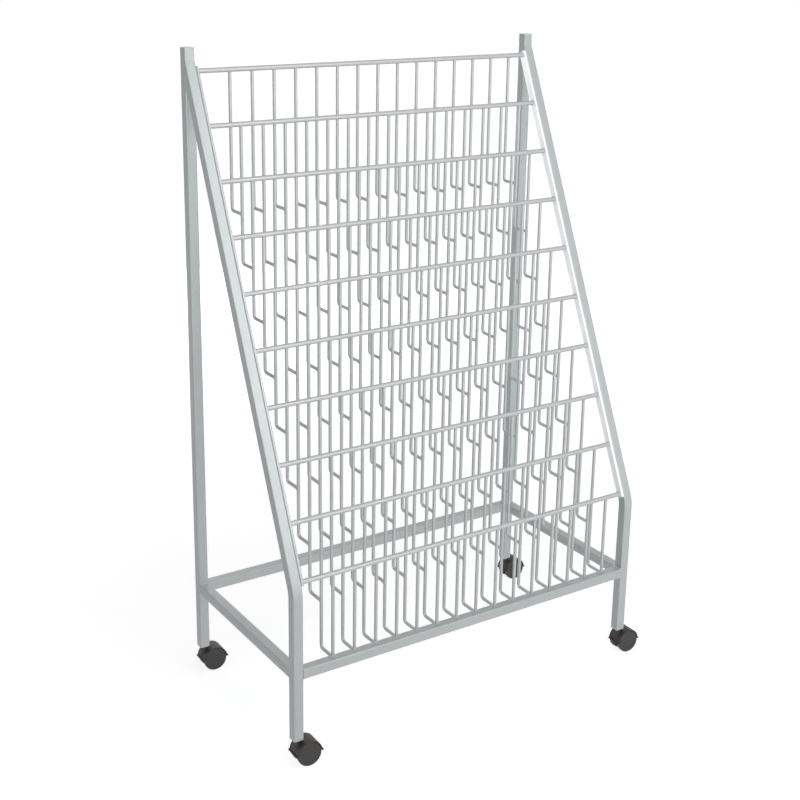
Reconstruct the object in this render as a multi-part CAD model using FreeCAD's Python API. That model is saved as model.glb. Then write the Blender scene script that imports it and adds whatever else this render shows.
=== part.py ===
import FreeCAD, Part
import math
import os

# Periodical display rack on casters, in millimetres.
# +Z is up and the front of the rack faces -Y. Left and right are those of a reader who stands in front.
# The pieces are worked out in rack coordinates: X from the rack's middle plane, Y from the rear faces
# of the rear posts (the front is negative) and Z from the floor. They are written out about the part's
# origin, which is on the floor in the middle of the box that the rack and its casters fill.

# Square tube frame
overall_width = 800.0       # over the outer faces of the side frames
frame_depth = 415.0         # from the posts' rear faces to the legs' front faces
post_top = 1270.0           # height of the closed post tops
tube_size = 20.0
tube_wall = 1.5
tube_corner = 2.0           # outer corner radius of the tube
leg_foot = 54.5             # height of the open tube ends above the floor
rail_top = 198.0            # height of the top faces of the four bottom rails
slant_start_drop = 22.0     # from the post top down to where the slanted face leaves the post
bend_height = 351.0         # where the slanted front face would meet the leg's front face
bend_radius = 60.0          # centre line radius of the tube bend
cap_thickness = 1.5

# Flat bars on the inner sides of the slanted tubes
strip_thickness = 5.0
strip_depth = 16.0
strip_edge = 0.8            # rounded long edges
strip_overhang = 6.5        # past the centres of the first and the last crossbar

# Crossbars
bar_count = 10
bar_diameter = 9.5
bar_end_gap = 18.4          # along the slant, from each of its ends to the nearest crossbar
bar_depth = 10.0            # from the slanted front face to the bar centres

# Pocket wires
wire_diameter = 6.5
wire_pitch = 46.4
wire_left_gap = 65.7        # from the left strip's inner face to the first wire's centre
wire_right_gap = 30.0       # at least, from the last wire's centre to the right strip
last_foot_drop = 4.0        # from the front rail's top down to the centres of the lowest tier's feet
wire_bend_radius = 7.0      # centre line
foot_cope = 2.0             # the foot runs this far past the nearest side of the wire that it meets

# Casters
wheel_diameter = 48.0
wheel_bore = 5.1
wheel_face = 2.5            # thickness of the wheel's outer disc
wheel_rim = 4.0
wheel_hub_diameter = 12.0
wheel_round = 2.0           # rounded tread edges
wheel_dish_diameter = 32.0
wheel_dish_depth = 0.3
caster_width = 34.5         # over the outer faces of the two wheels
caster_trail = 19.5         # from the swivel axis to the axle
caster_turn = 1.0           # degrees, how far the casters are turned from straight sideways at rest
web_thickness = 12.0        # middle plate of the hood, between the wheels
web_side_gap = 0.4          # between the middle plate and each wheel
web_below_axle = 4.0
hood_gap = 0.6              # between the treads and the hood
hood_wall = 1.5
hood_rear_angle = 2.0       # degrees above the axle, lower edge of the hood on the trailing side
hood_front_angle = 178.0    # degrees, lower edge of the hood on the leading side
lip_depth = 2.6             # rim that stands out along the hood's lower edges
lip_thickness = 1.4
hood_round = 1.0            # rounded outer edges of the hood
boss_round = 0.6
axle_diameter = 5.0
axle_end_gap = 3.5          # from the axle's end to the wheel's outer face
boss_diameter = 13.0
stem_diameter = 8.0
stem_bore_gap = 0.05        # radial, between the stem and the hood
stem_end_gap = 1.0
stem_thread_length = 22.0
stem_pin_length = 21.0      # below the collar
collar_diameter = 13.0
collar_thickness = 1.4
collar_gap = 0.3            # between the collar and the top of the hood's boss
ring_diameter = 9.2
ring_thickness = 1.0
ring_above_end = 2.0
ring_groove_depth = 0.8     # radial, in the stem
ring_gap = 0.1              # between the ring and the bottom of its groove
ring_room = 0.4             # between the ring and the hood, all round
ring_mouth = 4.0            # opening of the ring
insert_length = 24.0
insert_gap = 0.1            # between the insert and the tube, on each side
insert_corner = 0.4
insert_thread_gap = 0.02    # radial, between the stem's thread and the insert

# Worked out from the sizes above
half_width = overall_width / 2
tube_bore = tube_size - 2 * tube_wall
tube_inner_corner = max(tube_corner - tube_wall, 0.2)
post_x = half_width - tube_size / 2
leg_y = -frame_depth + tube_size / 2
post_y = -tube_size / 2
inner_face = half_width - tube_size
strip_face = inner_face - strip_thickness
rail_middle = rail_top - tube_size / 2
slant_top = post_top - slant_start_drop
slant_run = frame_depth - tube_size
slant_fall = slant_top - bend_height
slant_length = math.hypot(slant_run, slant_fall)
slant_angle = math.atan2(slant_run, slant_fall)
bar_radius = bar_diameter / 2
bar_pitch = (slant_length - 2 * bar_end_gap) / (bar_count - 1)
wire_radius = wire_diameter / 2
wire_first_x = -strip_face + wire_left_gap
wire_count = 1 + int((2 * strip_face - wire_left_gap - wire_right_gap) / wire_pitch)
wheel_radius = wheel_diameter / 2
wheel_inner_face = web_thickness / 2 + web_side_gap
hood_inner_radius = wheel_radius + hood_gap
hood_radius = hood_inner_radius + hood_wall
collar_bottom = leg_foot - collar_thickness
boss_top = collar_bottom - collar_gap
stem_end = collar_bottom - stem_pin_length
ring_bottom = stem_end + ring_above_end
axle_half = caster_width / 2 - axle_end_gap

UP = FreeCAD.Vector(0, 0, 1)
ACROSS = FreeCAD.Vector(1, 0, 0)
REARWARD = FreeCAD.Vector(0, 1, 0)
ZERO = FreeCAD.Vector(0, 0, 0)


def point(x, y, z):
    """A point in rack coordinates."""
    return FreeCAD.Vector(x, y, z)


def on_slant(along, depth):
    """Y and Z of a point that far down the slanted front face and that deep behind it."""
    y = -tube_size - along * math.sin(slant_angle) + depth * math.cos(slant_angle)
    z = slant_top - along * math.cos(slant_angle) - depth * math.sin(slant_angle)
    return y, z


def rod(radius, start, end):
    """Round solid from one point to another."""
    axis = end - start
    return Part.makeCylinder(radius, axis.Length, start, axis)


def rounded_square(size, corner):
    """Square outline in the XY plane about the origin, with round corners."""
    half = size / 2
    core = half - corner
    knee = core + corner * math.cos(math.pi / 4)
    edges = []
    for quarter in range(4):
        side = Part.makeLine(point(half, -core, 0), point(half, core, 0))
        bow = Part.Arc(point(half, core, 0), point(knee, knee, 0), point(core, half, 0)).toShape()
        for edge in (side, bow):
            edge.rotate(ZERO, UP, 90 * quarter)
            edges.append(edge)
    return Part.Wire(edges)


def square_tube(length):
    """Straight hollow tube that stands on the XY plane about the Z axis."""
    outside = Part.Face(rounded_square(tube_size, tube_corner))
    inside = Part.Face(rounded_square(tube_bore, tube_inner_corner))
    return outside.cut(inside).extrude(point(0, 0, length))


def swept(outline, path):
    """Solid swept by an outline that stands square to the start of a smooth path."""
    return Part.Wire(path).makePipeShell([outline], True, False)


# Side frames


def rear_post(side):
    """Upright tube at the back of a side frame, from the caster socket to the cap."""
    tube = square_tube(post_top - cap_thickness - leg_foot)
    return tube.translated(point(side * post_x, post_y, leg_foot))


def post_cap(side):
    """Plate welded on a post's top end, with the tube's own outline."""
    plate = Part.Face(rounded_square(tube_size, tube_corner)).extrude(point(0, 0, cap_thickness))
    return plate.translated(point(side * post_x, post_y, post_top - cap_thickness))


def slant_leg(side):
    """One bent tube: vertical leg, bend and slanted run, mitred on the post's front face."""
    middle = tube_size / 2
    along = (slant_run - middle + middle * math.cos(slant_angle)) / math.sin(slant_angle)
    corner_z = on_slant(along, middle)[1]
    tangent = bend_radius * math.tan(slant_angle / 2)
    x = side * post_x
    upper_y, upper_z = on_slant(along - tangent, middle)
    end_y, end_z = on_slant(-2 * tube_size, middle)
    foot = point(x, leg_y, leg_foot)
    bend_low = point(x, leg_y, corner_z - tangent)
    bend_high = point(x, upper_y, upper_z)
    half_turn = slant_angle / 2
    bend_mid = point(
        x,
        leg_y + bend_radius * (1 - math.cos(half_turn)),
        corner_z - tangent + bend_radius * math.sin(half_turn),
    )
    path = [
        Part.makeLine(foot, bend_low),
        Part.Arc(bend_low, bend_mid, bend_high).toShape(),
        Part.makeLine(bend_high, point(x, end_y, end_z)),
    ]
    outside = rounded_square(tube_size, tube_corner).translated(foot)
    inside = rounded_square(tube_bore, tube_inner_corner).translated(foot)
    tube = swept(outside, path).cut(swept(inside, path))
    room = 4 * tube_size
    beyond_post_face = Part.makeBox(room, room, post_top, point(x - room / 2, -tube_size, leg_foot))
    return tube.cut(beyond_post_face)


def side_rail(side):
    """Tube between a post's front face and a leg's rear face."""
    tube = square_tube(frame_depth - 2 * tube_size)
    tube.rotate(ZERO, ACROSS, -90)
    return tube.translated(point(side * post_x, -frame_depth + tube_size, rail_middle))


def cross_rail(y):
    """Tube between the inner faces of the two side frames."""
    tube = square_tube(2 * inner_face)
    tube.rotate(ZERO, REARWARD, 90)
    return tube.translated(point(-inner_face, y, rail_middle))


def side_strip(side):
    """Flat bar on the inner face of a slanted tube, flush with its front face."""
    low_end = slant_length - bar_end_gap + strip_overhang
    high_end = bar_end_gap - strip_overhang
    x = side * (strip_face if side > 0 else inner_face)
    corners = [(high_end, 0), (low_end, 0), (low_end, strip_depth), (high_end, strip_depth)]
    outline = [point(x, *on_slant(along, depth)) for along, depth in corners]
    bar = Part.Face(Part.makePolygon(outline + outline[:1])).extrude(point(strip_thickness, 0, 0))
    run = low_end - high_end
    long_edges = [edge for edge in bar.Edges if abs(edge.Length - run) < 0.01]
    return bar.makeFillet(strip_edge, long_edges)


# Wire rack


def bar_centre(row):
    """Y and Z of a crossbar's centre, the first row being the highest."""
    return on_slant(bar_end_gap + row * bar_pitch, bar_depth)


def crossbar(row):
    """Round rod between the two side strips."""
    y, z = bar_centre(row)
    return rod(bar_radius, point(-strip_face, y, z), point(strip_face, y, z))


def across_row(wire):
    """Copies of one wire, side by side at the wire pitch, as a group of separate solids."""
    places = [wire_first_x + number * wire_pitch for number in range(wire_count)]
    return Part.makeCompound([wire.translated(point(x, 0, 0)) for x in places])


def wire_drop():
    """How far a wire's foot is below its crossbar, which puts the lowest feet on the front rail."""
    return bar_centre(bar_count - 2)[1] - (rail_top - last_foot_drop)


def stub(row):
    """A short piece of a crossbar about X = 0, which shapes the saddle at a wire's top end."""
    y, z = bar_centre(row)
    return rod(bar_radius, point(-bar_diameter, y, z), point(bar_diameter, y, z))


def tier_wire(row):
    """L-shaped wire under a crossbar: a long leg, a bend and a foot that meets what is in front."""
    y, z = bar_centre(row)
    foot_z = z - wire_drop()
    bend_y = y - wire_bend_radius
    bend_z = foot_z + wire_bend_radius
    knee = wire_bend_radius * (1 - math.cos(math.pi / 4))
    lowest_tier = row == bar_count - 2
    if lowest_tier:
        foot_end = -frame_depth + tube_size
    else:
        front_y = bar_centre(row + 1)[0]
        foot_end = front_y + wire_radius - foot_cope
    path = [
        Part.makeLine(point(0, y, z), point(0, y, bend_z)),
        Part.Arc(
            point(0, y, bend_z), point(0, y - knee, foot_z + knee), point(0, bend_y, foot_z)
        ).toShape(),
        Part.makeLine(point(0, bend_y, foot_z), point(0, foot_end, foot_z)),
    ]
    section = Part.Wire(Part.makeCircle(wire_radius, point(0, y, z), UP))
    wire = swept(section, path).cut(stub(row))
    if lowest_tier:
        return wire
    wire_in_front = rod(wire_radius, point(0, front_y, foot_z - tube_size), point(0, front_y, z))
    return wire.cut(wire_in_front)


def front_wire():
    """Straight wire from the lowest crossbar down to the top of the front rail."""
    y, z = bar_centre(bar_count - 1)
    return rod(wire_radius, point(0, y, rail_top), point(0, y, z)).cut(stub(bar_count - 1))


# Casters. Each is worked out with its swivel axis on the Z axis, trailing along +X, and then placed.


def axle_line(radius, low_y, high_y):
    """Round solid about the axle, between two distances from the caster's middle plane."""
    return rod(
        radius,
        point(caster_trail, low_y, wheel_radius),
        point(caster_trail, high_y, wheel_radius),
    )


def around_axle(radius, degrees, y):
    """A point at that radius and angle about the axle."""
    angle = math.radians(degrees)
    return point(caster_trail + radius * math.cos(angle), y, wheel_radius + radius * math.sin(angle))


def cowl():
    """Curved shell over both wheels, open below, with a lip along each lower edge."""
    y = -caster_width / 2
    middle = (hood_rear_angle + hood_front_angle) / 2
    angles = (hood_rear_angle, middle, hood_front_angle)
    outer = [around_axle(hood_radius, angle, y) for angle in angles]
    inner = [around_axle(hood_inner_radius, angle, y) for angle in angles]
    outer_arc = Part.Arc(*outer).toShape()
    edges = [
        outer_arc,
        Part.makeLine(outer[2], inner[2]),
        Part.Arc(*reversed(inner)).toShape(),
        Part.makeLine(inner[0], outer[0]),
    ]
    shell = Part.Face(Part.Wire(edges)).extrude(point(0, caster_width, 0))
    bow = outer_arc.Length
    outer_edges = [edge for edge in shell.Edges if abs(edge.Length - bow) < 0.01]
    shell = shell.makeFillet(hood_round, outer_edges)
    reach = hood_wall + lip_depth
    for degrees, lift in ((hood_rear_angle, 0), (hood_front_angle, -lip_thickness)):
        lip = Part.makeBox(reach, caster_width, lip_thickness)
        far_corners = [
            edge for edge in lip.Edges
            if abs(edge.Length - lip_thickness) < 0.01 and edge.CenterOfMass.x > reach / 2
        ]
        lip = lip.makeFillet(hood_round, far_corners)
        lip.translate(point(hood_inner_radius, y, lift))
        lip.rotate(ZERO, REARWARD, -degrees)
        shell = shell.fuse(lip.translated(point(caster_trail, 0, wheel_radius)))
    return shell


def hood():
    """Moulded hood: cowl, middle plate between the wheels and the boss that the stem turns in."""
    half_web = web_thickness / 2
    plate = axle_line(hood_inner_radius + hood_wall / 2, -half_web, half_web)
    below = Part.makeBox(
        2 * hood_radius, web_thickness, wheel_radius,
        point(caster_trail - hood_radius, -half_web, -web_below_axle),
    )
    plate = plate.cut(below)
    boss_bottom = around_axle(hood_radius, hood_front_angle, 0).z
    boss = rod(boss_diameter / 2, point(0, 0, boss_bottom), point(0, 0, boss_top))
    top_edge = [edge for edge in boss.Edges if edge.isClosed() and edge.CenterOfMass.z > boss_top - 0.01]
    boss = boss.makeFillet(boss_round, top_edge)
    for side in (-1, 1):
        ends = sorted((side * half_web, side * boss_diameter))
        boss = boss.cut(axle_line(hood_inner_radius, *ends))
    body = cowl().fuse(plate).fuse(boss)
    bore_radius = stem_diameter / 2 + stem_bore_gap
    body = body.cut(rod(bore_radius, point(0, 0, stem_end - stem_end_gap), point(0, 0, boss_top)))
    room_low = ring_bottom - ring_room
    room_high = ring_bottom + ring_thickness + ring_room
    ring_space = rod(ring_diameter / 2 + ring_room, point(0, 0, room_low), point(0, 0, room_high))
    body = body.cut(ring_space)
    return body.cut(axle_line(axle_diameter / 2, -half_web, half_web)).removeSplitter()


def wheel(side):
    """Cup-shaped wheel: outer disc, rim with rounded tread edges, and hub with a blind bore."""
    inner = wheel_inner_face
    outer = caster_width / 2
    face = outer - wheel_face

    def ring_about_axle(radius, low, high):
        ends = sorted((side * low, side * high))
        return axle_line(radius, *ends)

    disc = ring_about_axle(wheel_radius, inner, outer)
    tread_edges = [edge for edge in disc.Edges if edge.isClosed()]
    disc = disc.makeFillet(wheel_round, tread_edges)
    hollow = ring_about_axle(wheel_radius - wheel_rim, inner, face)
    hollow = hollow.cut(ring_about_axle(wheel_hub_diameter / 2, inner, face))
    dish = ring_about_axle(wheel_dish_diameter / 2, outer - wheel_dish_depth, outer)
    bore = ring_about_axle(wheel_bore / 2, inner, axle_half + web_side_gap)
    return disc.cut(hollow).cut(dish).cut(bore)


def axle():
    """Plain pin pressed through the hood's middle plate, with a wheel on each end."""
    return axle_line(axle_diameter / 2, -axle_half, axle_half)


def stem():
    """Threaded stem with a collar under the tube's foot and a grooved pin that the hood turns on."""
    radius = stem_diameter / 2
    thread = rod(radius, point(0, 0, leg_foot), point(0, 0, leg_foot + stem_thread_length))
    collar = rod(collar_diameter / 2, point(0, 0, collar_bottom), point(0, 0, leg_foot))
    pin = rod(radius, point(0, 0, stem_end), point(0, 0, collar_bottom))
    low = point(0, 0, ring_bottom - ring_gap)
    high = point(0, 0, ring_bottom + ring_thickness + ring_gap)
    groove = rod(radius, low, high).cut(rod(radius - ring_groove_depth, low, high))
    return thread.fuse(collar).fuse(pin).cut(groove).removeSplitter()


def retaining_ring():
    """Open ring in the stem's groove, which keeps the hood on the stem."""
    low = point(0, 0, ring_bottom)
    high = point(0, 0, ring_bottom + ring_thickness)
    bore_radius = stem_diameter / 2 - ring_groove_depth + ring_gap
    ring = rod(ring_diameter / 2, low, high).cut(rod(bore_radius, low, high))
    mouth = Part.makeBox(
        ring_diameter, ring_mouth, ring_thickness, point(0, -ring_mouth / 2, ring_bottom)
    )
    return ring.cut(mouth)


def socket_insert():
    """Plug driven into the tube's open foot, with a tapped hole for the stem."""
    plug = Part.Face(rounded_square(tube_bore - 2 * insert_gap, insert_corner))
    plug = plug.extrude(point(0, 0, insert_length)).translated(point(0, 0, leg_foot))
    hole_radius = stem_diameter / 2 + insert_thread_gap
    return plug.cut(rod(hole_radius, point(0, 0, leg_foot), point(0, 0, leg_foot + insert_length)))


def placed(shape, x, y):
    """Turn a caster piece to its rest angle and move it under a tube's centre."""
    turned = shape.copy()
    turned.rotate(ZERO, UP, -caster_turn)
    return turned.translated(point(x, y, 0))


# All pieces by name, in rack coordinates
pieces = {}

for hand, side in (("left", -1), ("right", 1)):
    pieces[hand + "_rear_post"] = rear_post(side)
    pieces[hand + "_post_cap"] = post_cap(side)
    pieces[hand + "_slant_leg"] = slant_leg(side)
    pieces[hand + "_side_rail"] = side_rail(side)
    pieces[hand + "_side_strip"] = side_strip(side)
pieces["front_rail"] = cross_rail(leg_y)
pieces["rear_rail"] = cross_rail(post_y)

rings = []
for corner_name, x, y in (
    ("front_left", -post_x, leg_y),
    ("front_right", post_x, leg_y),
    ("rear_left", -post_x, post_y),
    ("rear_right", post_x, post_y),
):
    caster = corner_name + "_caster"
    pieces[caster + "_insert"] = socket_insert().translated(point(x, y, 0))
    pieces[caster + "_stem"] = placed(stem(), x, y)
    pieces[caster + "_hood"] = placed(hood(), x, y)
    pieces[caster + "_axle"] = placed(axle(), x, y)
    pieces[caster + "_front_wheel"] = placed(wheel(-1), x, y)
    pieces[caster + "_rear_wheel"] = placed(wheel(1), x, y)
    rings.append(placed(retaining_ring(), x, y))
pieces["caster_retaining_rings"] = Part.makeCompound(rings)

# The wires, still to come, stay inside the side frames, so these pieces already fill the rack's box.
extent = Part.makeCompound(list(pieces.values())).optimalBoundingBox(False, False)
origin = point(extent.Center.x, extent.Center.y, 0)

for row in range(bar_count):
    pieces["crossbar_%02d" % (row + 1)] = crossbar(row)
for row in range(bar_count - 1):
    pieces["pocket_wires_%02d" % (row + 1)] = across_row(tier_wire(row))
pieces["front_wires"] = across_row(front_wire())

os.makedirs("parts", exist_ok=True)
for name, piece in pieces.items():
    piece.translated(-origin).exportStep("parts/" + name + ".step")
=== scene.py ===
from math import cos, pi, radians, sin

import bmesh
import bpy
import numpy as np
from mathutils import Matrix, Vector


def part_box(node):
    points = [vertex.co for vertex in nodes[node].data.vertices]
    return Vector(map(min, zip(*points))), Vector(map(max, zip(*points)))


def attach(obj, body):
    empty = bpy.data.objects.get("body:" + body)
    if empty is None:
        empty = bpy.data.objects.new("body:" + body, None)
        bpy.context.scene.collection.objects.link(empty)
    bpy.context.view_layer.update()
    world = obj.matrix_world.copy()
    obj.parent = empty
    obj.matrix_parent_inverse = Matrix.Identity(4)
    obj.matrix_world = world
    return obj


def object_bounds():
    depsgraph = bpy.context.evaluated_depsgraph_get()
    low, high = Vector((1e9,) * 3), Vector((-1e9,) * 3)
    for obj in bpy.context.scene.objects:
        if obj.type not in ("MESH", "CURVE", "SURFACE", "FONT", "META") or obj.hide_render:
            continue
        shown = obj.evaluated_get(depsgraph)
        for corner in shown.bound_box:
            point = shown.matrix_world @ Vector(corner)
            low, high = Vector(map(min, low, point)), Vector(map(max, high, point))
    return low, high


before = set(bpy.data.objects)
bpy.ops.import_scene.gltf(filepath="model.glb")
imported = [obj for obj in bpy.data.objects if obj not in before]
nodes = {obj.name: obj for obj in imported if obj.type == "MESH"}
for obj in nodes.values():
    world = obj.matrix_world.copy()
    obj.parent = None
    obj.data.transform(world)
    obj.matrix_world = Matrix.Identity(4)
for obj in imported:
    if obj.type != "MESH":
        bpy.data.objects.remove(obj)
cad_low, cad_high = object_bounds()

# Camera
# It stands in front of the rack's left side frame, above the top crossbar, and looks down into the
# pockets. Its frame is 800 pixels wide and high.
frame_pixels = 800
focal_pixels = 1366.94
camera_place = Vector((-1.4663, -2.1219, 1.4992))
camera_heading = radians(-33.405)
camera_tilt = radians(16.189)
camera_roll = radians(0.914)
camera_shift = -0.105       # of its lens, in frame heights

camera = bpy.data.objects.new("camera", bpy.data.cameras.new("camera"))
bpy.context.scene.collection.objects.link(camera)
bpy.context.scene.camera = camera
camera.data.sensor_width = 36.0
camera.data.lens = camera.data.sensor_width * focal_pixels / frame_pixels
camera.data.shift_y = camera_shift
camera.data.clip_end = 50.0
camera.location = camera_place
camera.rotation_euler = (
    Matrix.Rotation(camera_heading, 3, "Z")
    @ Matrix.Rotation(pi / 2 - camera_tilt, 3, "X")
    @ Matrix.Rotation(camera_roll, 3, "Z")
).to_euler()

# Floor, surroundings and lamps
# The rack stands on a wide matt white floor in an evenly white studio. Two soft lamps in front give
# the slanted front its light, and smaller ones at the right, above and behind shape the other sides.


def add_node(tree, kind, inputs=None, **settings):
    """Adds one shader node, with its properties as settings.

    The inputs are the values of its input sockets, or the sockets that are linked to them.
    """
    made = tree.nodes.new(kind)
    for name, value in settings.items():
        setattr(made, name, value)
    for socket, value in (inputs or {}).items():
        if isinstance(value, bpy.types.NodeSocket):
            tree.links.new(value, made.inputs[socket])
        else:
            made.inputs[socket].default_value = value
    return made


def linear(hex_colour):
    """Linear RGBA of an sRGB hex colour: each part is ((part + 0.055) / 1.055) to the power 2.4."""
    parts = [int(hex_colour[i:i + 2], 16) / 255 for i in (0, 2, 4)]
    return [((p + 0.055) / 1.055) ** 2.4 if p > 0.04045 else p / 12.92 for p in parts] + [1.0]


def seen_rays(tree):
    """Socket that is 1 for what the eye, a mirror or glass shows, and 0 for light on matt surfaces."""
    rays = add_node(tree, "ShaderNodeLightPath").outputs
    seen = add_node(
        tree, "ShaderNodeMath", {0: rays["Is Camera Ray"], 1: rays["Is Glossy Ray"]},
        operation="MAXIMUM",
    )
    seen = add_node(
        tree, "ShaderNodeMath", {0: seen.outputs[0], 1: rays["Is Transmission Ray"]},
        operation="MAXIMUM",
    )
    return seen.outputs[0]


bpy.context.scene.view_settings.view_transform = "Standard"

# The eye and mirrors see plain white all around. Matt surfaces get only a faint bluish light from
# it, so that the lamps shape them.
surroundings = bpy.data.worlds.new("white_studio")
bpy.context.scene.world = surroundings
surroundings.use_nodes = True
tree = surroundings.node_tree
tree.nodes.clear()
ambient = add_node(tree, "ShaderNodeBackground", {"Color": linear("F4F7FA"), "Strength": 0.06})
backdrop = add_node(tree, "ShaderNodeBackground", {"Color": linear("FFFFFF"), "Strength": 1.0})
mixed = add_node(
    tree, "ShaderNodeMixShader",
    {0: seen_rays(tree), 1: ambient.outputs[0], 2: backdrop.outputs[0]},
)
add_node(tree, "ShaderNodeOutputWorld", {"Surface": mixed.outputs[0]})

floor_half = 12.0
floor_mesh = bpy.data.meshes.new("floor")
floor_mesh.from_pydata(
    [(-floor_half, -floor_half, 0), (floor_half, -floor_half, 0),
     (floor_half, floor_half, 0), (-floor_half, floor_half, 0)],
    [], [(0, 1, 2, 3)],
)
floor = bpy.data.objects.new("floor", floor_mesh)
bpy.context.scene.collection.objects.link(floor)


def new_material(name):
    """An empty material, its node tree, and the socket of each point's own place in metres."""
    material = bpy.data.materials.new(name)
    material.use_nodes = True
    tree = material.node_tree
    tree.nodes.clear()
    return material, tree, add_node(tree, "ShaderNodeTexCoord").outputs["Object"]


# Matt white paint. A glow lifts what is seen of it to the white of the backdrop, less around the
# rack, where its shadow lies, and fully from 2.5 m away.
floor_paint, tree, place = new_material("matt_white_floor")
matt = add_node(tree, "ShaderNodeBsdfDiffuse", {"Color": linear("F0F0F0")})
distance = add_node(tree, "ShaderNodeVectorMath", {0: place}, operation="LENGTH").outputs["Value"]
amount = add_node(
    tree, "ShaderNodeMapRange",
    {"Value": distance, "From Min": 0.4, "From Max": 2.5, "To Min": 0.72, "To Max": 1.0},
)
lift = add_node(
    tree, "ShaderNodeMath", {0: seen_rays(tree), 1: amount.outputs[0]}, operation="MULTIPLY"
)
glow = add_node(
    tree, "ShaderNodeEmission", {"Color": linear("FFFFFF"), "Strength": lift.outputs[0]}
)
summed = add_node(tree, "ShaderNodeAddShader", {0: matt.outputs[0], 1: glow.outputs[0]})
add_node(tree, "ShaderNodeOutputMaterial", {"Surface": summed.outputs[0]})
floor_mesh.materials.append(floor_paint)


def add_lamp(name, place, aim, size, watts):
    """A soft rectangular lamp of a width and height at a place, turned to face the aim point."""
    lamp = bpy.data.objects.new(name, bpy.data.lights.new(name, "AREA"))
    bpy.context.scene.collection.objects.link(lamp)
    lamp.data.shape = "RECTANGLE"
    lamp.data.size, lamp.data.size_y = size
    lamp.data.energy = watts
    lamp.location = place
    lamp.rotation_euler = (Vector(aim) - Vector(place)).to_track_quat("-Z", "Y").to_euler()
    return lamp


rack_middle = (cad_low + cad_high) / 2
key_lamp = add_lamp("key_lamp", (0.7, -2.3, 2.1), rack_middle, size=(0.9, 1.8), watts=20)
low_lamp = add_lamp("low_lamp", (-0.5, -5.0, 1.0), rack_middle, size=(1.5, 1.5), watts=60)
add_lamp("right_lamp", (1.6, -2.6, 1.4), rack_middle, size=(1.0, 1.0), watts=3.5)
add_lamp("top_lamp", (-0.4, -1.2, 3.2), rack_middle, size=(1.0, 1.0), watts=8)
rear_lamp = add_lamp("rear_lamp", (0.5, 3.4, 0.55), rack_middle, size=(1.6, 0.8), watts=20)
# These three only fill, as the many bounces of a white room do, so they throw no shadows.
for lamp in (key_lamp, low_lamp, rear_lamp):
    lamp.data.use_shadow = False

# Square tubes
# The two side frames and the four bottom rails are stock steel tube, cut, bent and welded, then
# powder coated in silver-grey. The coat is baked on: smooth and satin, with a fine orange peel.
gloss_drift = 0.03          # of the coat's roughness, to either side


def coated_steel(name, light, dark, metallic, roughness, varnish):
    """Material of the baked coat: two close greys mixed by a broad noise, and a fine noise as bump."""
    material, tree, place = new_material(name)
    # The coat's tone drifts over about 80 mm, and its gloss with it. Socket 0 of a mix node is its
    # factor, 6 and 7 are the two colours, and output 2 is their mix.
    drift = add_node(
        tree, "ShaderNodeTexNoise", {"Vector": place, "Scale": 1 / 0.080, "Detail": 2.0}
    )
    tone = add_node(
        tree, "ShaderNodeMix", {0: drift.outputs["Fac"], 6: linear(light), 7: linear(dark)},
        data_type="RGBA",
    )
    # Real orange peel has waves of 1 to 2 mm. It is drawn at 5 mm, which is as fine as shows.
    peel = add_node(
        tree, "ShaderNodeTexNoise", {"Vector": place, "Scale": 1 / 0.005, "Detail": 1.0}
    )
    bump = add_node(
        tree, "ShaderNodeBump",
        {"Height": peel.outputs["Fac"], "Strength": 0.25, "Distance": 0.0002},
    )
    gloss = add_node(
        tree, "ShaderNodeMapRange",
        {"Value": drift.outputs["Fac"],
         "To Min": roughness - gloss_drift, "To Max": roughness + gloss_drift},
    )
    shader = add_node(
        tree, "ShaderNodeBsdfPrincipled",
        {"Base Color": tone.outputs[2], "Metallic": metallic, "Roughness": gloss.outputs[0],
         "Normal": bump.outputs[0], "Coat Weight": varnish, "Coat Roughness": 0.12},
    )
    add_node(tree, "ShaderNodeOutputMaterial", {"Surface": shader.outputs[0]})
    return material


def give(names, material):
    """Puts one material on all faces of the named nodes."""
    for name in names:
        mesh = nodes[name].data
        mesh.materials.clear()
        mesh.materials.append(material)


hands = ("left", "right")
tube_nodes = [hand + part for hand in hands for part in
              ("_rear_post", "_post_cap", "_slant_leg", "_side_rail")]
tube_nodes += ["front_rail", "rear_rail"]
# Silver-grey powder coat: a calm, even grey with a soft sheen along the tubes' edges.
tube_coat = coated_steel("silver_grey_powder_coat", "C4C9C9", "BEC3C4", 0.3, 0.45, 0.35)
give(tube_nodes, tube_coat)

# Frame welds
# The tubes are arc welded in their corners before they are coated. A bead is laid as a row of
# overlapping ripples, and stands 2 or 3 mm proud of the corner that it fills.
bead_radius = 0.0032
bead_sink = 0.0011          # of the bead's centre line, behind the corner
bead_inset = 0.0005         # of the bead's ends, from the ends of its corner
bead_rows = 97              # of points along a bead
bead_columns = 12           # of points around it
ripple_pitch = 0.0017
ripple_depth = 0.00035
ripple_lean = 0.0012        # how far the crown of a ripple runs ahead of its sides


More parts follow.
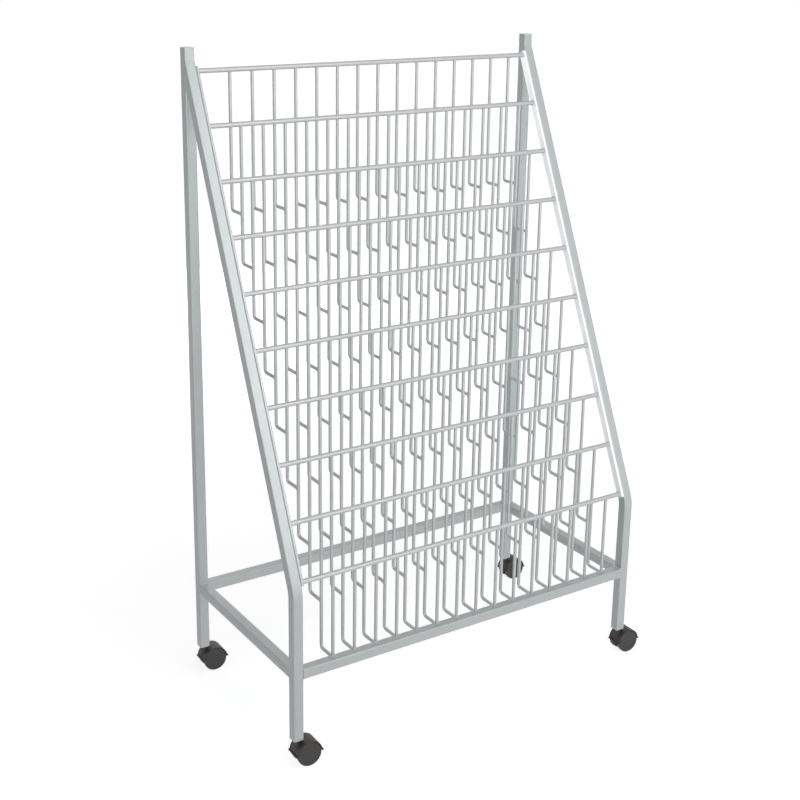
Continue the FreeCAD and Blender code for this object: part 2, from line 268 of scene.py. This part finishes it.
def add_piece(name, points, material, poles):
    """One mesh on the rack, of closed surfaces, whose points are surfaces by rows by columns.

    A face joins each point to the next one in its row and to the next row. Each row closes on itself.
    With poles the first and the last row of a surface are a single point each, and otherwise its
    last row meets its first.
    """
    count, rows, columns = points.shape[:3]
    row = np.arange(count * rows * columns).reshape(count, rows, columns)
    next_row = np.roll(row, -1, axis=1)
    if poles:
        row, next_row = row[:, :-1], next_row[:, :-1]
    faces = np.stack([row, np.roll(row, -1, 2), np.roll(next_row, -1, 2), next_row], axis=-1)
    mesh = bpy.data.meshes.new(name)
    mesh.from_pydata(points.reshape(-1, 3).tolist(), [], faces.reshape(-1, 4).tolist())
    shell = bmesh.new()
    shell.from_mesh(mesh)
    bmesh.ops.remove_doubles(shell, verts=shell.verts, dist=1e-6)
    bmesh.ops.recalc_face_normals(shell, faces=shell.faces)
    shell.to_mesh(mesh)
    shell.free()
    mesh.shade_smooth()
    mesh.materials.append(material)
    piece = bpy.data.objects.new(name, mesh)
    bpy.context.scene.collection.objects.link(piece)
    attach(piece, "rack")


def bead_points(starts, ends, outward):
    """Points of rippled weld beads along lines in corners, each as rows of circles about its line.

    At a distance u from the nearer end the circle's radius is sqrt(2 r u - u u), up to the bead's
    radius r, which makes round ends. A saw tooth is taken off it: the ripple depth times the fraction
    of (the distance along the bead less the lean times the cosine of the angle) over the pitch.
    """
    starts, ends, outward = (
        np.array(part, float)[:, None, None] for part in (starts, ends, outward)
    )
    length = np.linalg.norm(ends - starts, axis=-1, keepdims=True)
    direction = (ends - starts) / length
    outward = outward / np.linalg.norm(outward, axis=-1, keepdims=True)
    sideways = np.cross(direction, outward)
    distance = length * np.linspace(0, 1, bead_rows)[:, None, None]
    angle = np.linspace(0, 2 * pi, bead_columns, endpoint=False)[:, None]
    from_end = np.minimum(np.minimum(distance, length - distance), bead_radius)
    radius = np.sqrt(np.maximum(2 * bead_radius * from_end - from_end ** 2, 0))
    tooth = (distance - ripple_lean * np.cos(angle)) / ripple_pitch % 1
    radius = radius * (1 - ripple_depth / bead_radius * tooth)
    centre = starts + direction * distance - outward * bead_sink
    return centre + radius * (outward * np.cos(angle) + sideways * np.sin(angle))


across, rearward, up = np.eye(3)
rail_left, rail_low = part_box("front_rail")[0].xz
rail_right, rail_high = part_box("front_rail")[1].xz
inner_faces = ((rail_left, 1), (rail_right, -1))
beads = []
# At both ends of each cross rail, below and above it.
for rail in ("front_rail", "rear_rail"):
    front, rear = (corner.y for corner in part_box(rail))
    for x, inward in inner_faces:
        for z, lift in ((rail_low, -1), (rail_high, 1)):
            beads.append(((x, front + bead_inset, z), (x, rear - bead_inset, z),
                          inward * across + lift * up))
# At both ends of each side rail, below and above it, and in the upright corner on its inner side.
for hand, (x, inward) in zip(hands, inner_faces):
    low_corner, high_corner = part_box(hand + "_side_rail")
    for y, along in ((low_corner.y, 1), (high_corner.y, -1)):
        for z, lift in ((rail_low, -1), (rail_high, 1)):
            beads.append(((low_corner.x + bead_inset, y, z), (high_corner.x - bead_inset, y, z),
                          along * rearward + lift * up))
        beads.append(((x, y, rail_low + bead_inset), (x, y, rail_high - bead_inset),
                      inward * across + along * rearward))
# Where each slanted tube meets its post, a little below the acute corner. The top is ground flush.
bar_count = 10
bar_lines = [sum(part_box(f"crossbar_{number:02d}"), Vector()) / 2
             for number in range(1, bar_count + 1)]
down_slant = np.array((bar_lines[-1] - bar_lines[0]).normalized())
tube_size = rail_high - rail_low
acute_drop = 0.006
for hand in hands:
    low_corner, high_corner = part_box(hand + "_slant_leg")
    z = high_corner.z + tube_size / down_slant[1] - acute_drop
    beads.append(((low_corner.x + bead_inset, high_corner.y, z),
                  (high_corner.x - bead_inset, high_corner.y, z), -up))
add_piece("tube_welds", bead_points(*zip(*beads)), tube_coat, poles=True)

# Side strips
# A flat bar is welded on the inner side of each slanted tube, flush with its front, and carries the
# ends of the crossbars. The two bars are alike, but the right one is given a nearly white metal as
# painted brightness, lighter than the left one, which wears the tubes' coat.

# Painted brightness: a nearly white metal, dull enough to shine without mirroring the room.
right_strip_painted_brightness = coated_steel("bright_steel_painted_brightness", "F2F3F4", "EFF0F1", 1.0, 0.32, 0.35)
give(["right_side_strip"], right_strip_painted_brightness)
give(["left_side_strip"], tube_coat)

# Stitch welds
# Each strip is held to its tube by nine short beads along its rear edge, halfway between crossbars.
# They are arc welded as the frame's are, but short, so that the heat doesn't warp the bar.
stitch_length = 0.020
edge_behind_bars = 0.006
behind_slant = np.cross(across, down_slant)
beads = []
for x, inward in inner_faces:
    for bar, next_bar in zip(bar_lines, bar_lines[1:]):
        middle = np.array((x, (bar.y + next_bar.y) / 2, (bar.z + next_bar.z) / 2))
        middle += edge_behind_bars * behind_slant
        half = stitch_length / 2 * down_slant
        beads.append((middle - half, middle + half, inward * across + behind_slant))
add_piece("strip_welds", bead_points(*zip(*beads)), tube_coat, poles=True)

# Crossbars and pocket wires
# Ten drawn steel rods run between the strips, and bent wires hang from them and carry the magazines.
# Both are resistance welded and powder coated.
wire_nodes = [name for name in nodes if "crossbar" in name or "wires" in name]
# Silver-grey wire coat: the tubes' coat made paler as painted brightness, and without a glossy skin,
# so that the rods shine along their front and stay dark at their edges.
wire_coat_painted_lighter = coated_steel("silver_grey_wire_coat", "D4D7D7", "CED1D1", 0.25, 0.40, 0.0)
give(wire_nodes, wire_coat_painted_lighter)

# Wire welds
# The wires and bars are resistance welded: they melt into each other under pressure, and a low
# collar of metal is squeezed out around each joint, more of it on one side.
collar_size = 0.0010
collar_rows = 12            # of points around a rod
collar_columns = 4          # of points in each of its small circles
saddle_share = 0.85         # of a saddle's full dip, so that between equal rods it doesn't reach
                            # their middle
larger_share = 0.33         # that a collar is larger on one side, and smaller on the other
wires_in_row = 15
chance = np.random.default_rng(5)


def collar_points(centres, along, out, rod_radius, target_radius=0.0):
    """Points of the collars where round rods end on a bar or on a flat face, as small circles.

    At an angle t about the rod, a collar's line is rod radius times cos t along the target, rod
    radius times sin t across it, and sqrt(R R - share (rod radius times sin t) squared) out of its
    axis, where R is the target's radius and the share the saddle's. The small circle about that
    line stands square to the rod's skin, and is up to a third larger or smaller around it.
    """
    centres = np.array(centres, float)[:, None, None]
    t = np.linspace(0, 2 * pi, collar_rows, endpoint=False)[:, None, None]
    s = np.linspace(0, 2 * pi, collar_columns, endpoint=False)[:, None]
    outward = along * np.cos(t) + np.cross(along, out) * np.sin(t)
    dip = saddle_share * (rod_radius * np.sin(t)) ** 2
    reach = np.sqrt(np.maximum(target_radius ** 2 - dip, 0))
    larger_side = chance.uniform(0, 2 * pi, (len(centres), 1, 1, 1))
    size = collar_size * (1 + larger_share * np.cos(t - larger_side))
    line = centres + outward * rod_radius + out * reach
    return line + size * (outward * np.cos(s) + out * np.sin(s))


bar_low, bar_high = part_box("crossbar_01")
bar_radius = (bar_high.z - bar_low.z) / 2
wires_low, wires_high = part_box("front_wires")
wire_radius = (wires_high.y - wires_low.y) / 2
wire_xs = np.linspace(wires_low.x + wire_radius, wires_high.x - wire_radius, wires_in_row)
foot_zs = [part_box(f"pocket_wires_{number:02d}")[0].z + wire_radius
           for number in range(1, bar_count)]
rail_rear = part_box("front_rail")[1].y
collars = np.concatenate([
    # Wires under the crossbars
    collar_points([(x, bar.y, bar.z) for bar in bar_lines for x in wire_xs],
                  across, -up, wire_radius, bar_radius),
    # Feet against the upright wires of the next row
    collar_points([(x, bar.y, z) for bar, z in zip(bar_lines[1:-1], foot_zs) for x in wire_xs],
                  up, rearward, wire_radius, wire_radius),
    # Lowest feet against the front rail, and front wires on top of it
    collar_points([(x, rail_rear, foot_zs[-1]) for x in wire_xs], across, rearward, wire_radius),
    collar_points([(x, bar_lines[-1].y, rail_high) for x in wire_xs], across, up, wire_radius),
    # Bar ends against the side strips
    collar_points([(bar_low.x, bar.y, bar.z) for bar in bar_lines], up, across, bar_radius),
    collar_points([(bar_high.x, bar.y, bar.z) for bar in bar_lines], up, -across, bar_radius),
])
add_piece("wire_welds", collars, wire_coat_painted_lighter, poles=False)

# Casters
# Twin-wheel swivel casters. Their hoods, wheels and socket inserts are moulded in black nylon, and
# their stems, axles and retaining rings are turned or bent from steel and zinc plated. The inserts
# are pressed into the tubes' open ends, and the stems sit in them.


def moulded_nylon(name, light, dark, roughness):
    """Material of moulded nylon: two near-blacks mixed by a noise, and a fine grain as bump."""
    material, tree, place = new_material(name)
    # The tone changes over about 12 mm. A spark-eroded mould leaves a grain of about 0.1 mm. It is
    # drawn at 0.8 mm, so that it shows.
    cloud = add_node(
        tree, "ShaderNodeTexNoise", {"Vector": place, "Scale": 1 / 0.012, "Detail": 3.0}
    )
    tone = add_node(
        tree, "ShaderNodeMix", {0: cloud.outputs["Fac"], 6: linear(light), 7: linear(dark)},
        data_type="RGBA",
    )
    grain = add_node(
        tree, "ShaderNodeTexNoise", {"Vector": place, "Scale": 1 / 0.0008, "Detail": 2.0}
    )
    bump = add_node(
        tree, "ShaderNodeBump",
        {"Height": grain.outputs["Fac"], "Strength": 0.3, "Distance": 0.0001},
    )
    shader = add_node(
        tree, "ShaderNodeBsdfPrincipled",
        {"Base Color": tone.outputs[2], "Roughness": roughness, "Normal": bump.outputs[0]},
    )
    add_node(tree, "ShaderNodeOutputMaterial", {"Surface": shader.outputs[0]})
    return material


# Textured black nylon: a warm charcoal that scatters the lamps into a dull sheen.
give([name for name in nodes if name.endswith("_hood") or name.endswith("_insert")],
     moulded_nylon("textured_black_nylon", "3E3A38", "363230", 0.55))
# Smooth black nylon: a little darker, with a clearer shine on the rims of the wheels.
give([name for name in nodes if name.endswith("_wheel")],
     moulded_nylon("smooth_black_nylon", "3A3735", "322F2D", 0.42))

# Bright zinc plate: a bluish and a yellowish silver pass into each other over 6 mm, as the plating's
# thickness does, and fine turning rings 0.25 mm apart run around the upright stems.
zinc, tree, place = new_material("bright_zinc_plate")
cloud = add_node(tree, "ShaderNodeTexNoise", {"Vector": place, "Scale": 1 / 0.006, "Detail": 2.0})
tone = add_node(
    tree, "ShaderNodeMix",
    {0: cloud.outputs["Fac"], 6: linear("C4CACF"), 7: linear("CFCDC2")}, data_type="RGBA",
)
gloss = add_node(
    tree, "ShaderNodeMapRange", {"Value": cloud.outputs["Fac"], "To Min": 0.22, "To Max": 0.38}
)
# A wave texture of scale s has s times 20 / (2 pi) waves to the metre.
rings = add_node(
    tree, "ShaderNodeTexWave", {"Vector": place, "Scale": 2 * pi / 20 / 0.00025},
    bands_direction="Z",
)
bump = add_node(
    tree, "ShaderNodeBump",
    {"Height": rings.outputs["Fac"], "Strength": 0.2, "Distance": 0.00002},
)
shader = add_node(
    tree, "ShaderNodeBsdfPrincipled",
    {"Base Color": tone.outputs[2], "Metallic": 1.0, "Roughness": gloss.outputs[0],
     "Normal": bump.outputs[0]},
)
add_node(tree, "ShaderNodeOutputMaterial", {"Surface": shader.outputs[0]})
give([name for name in nodes
      if name.endswith("_stem") or name.endswith("_axle") or "retaining" in name], zinc)
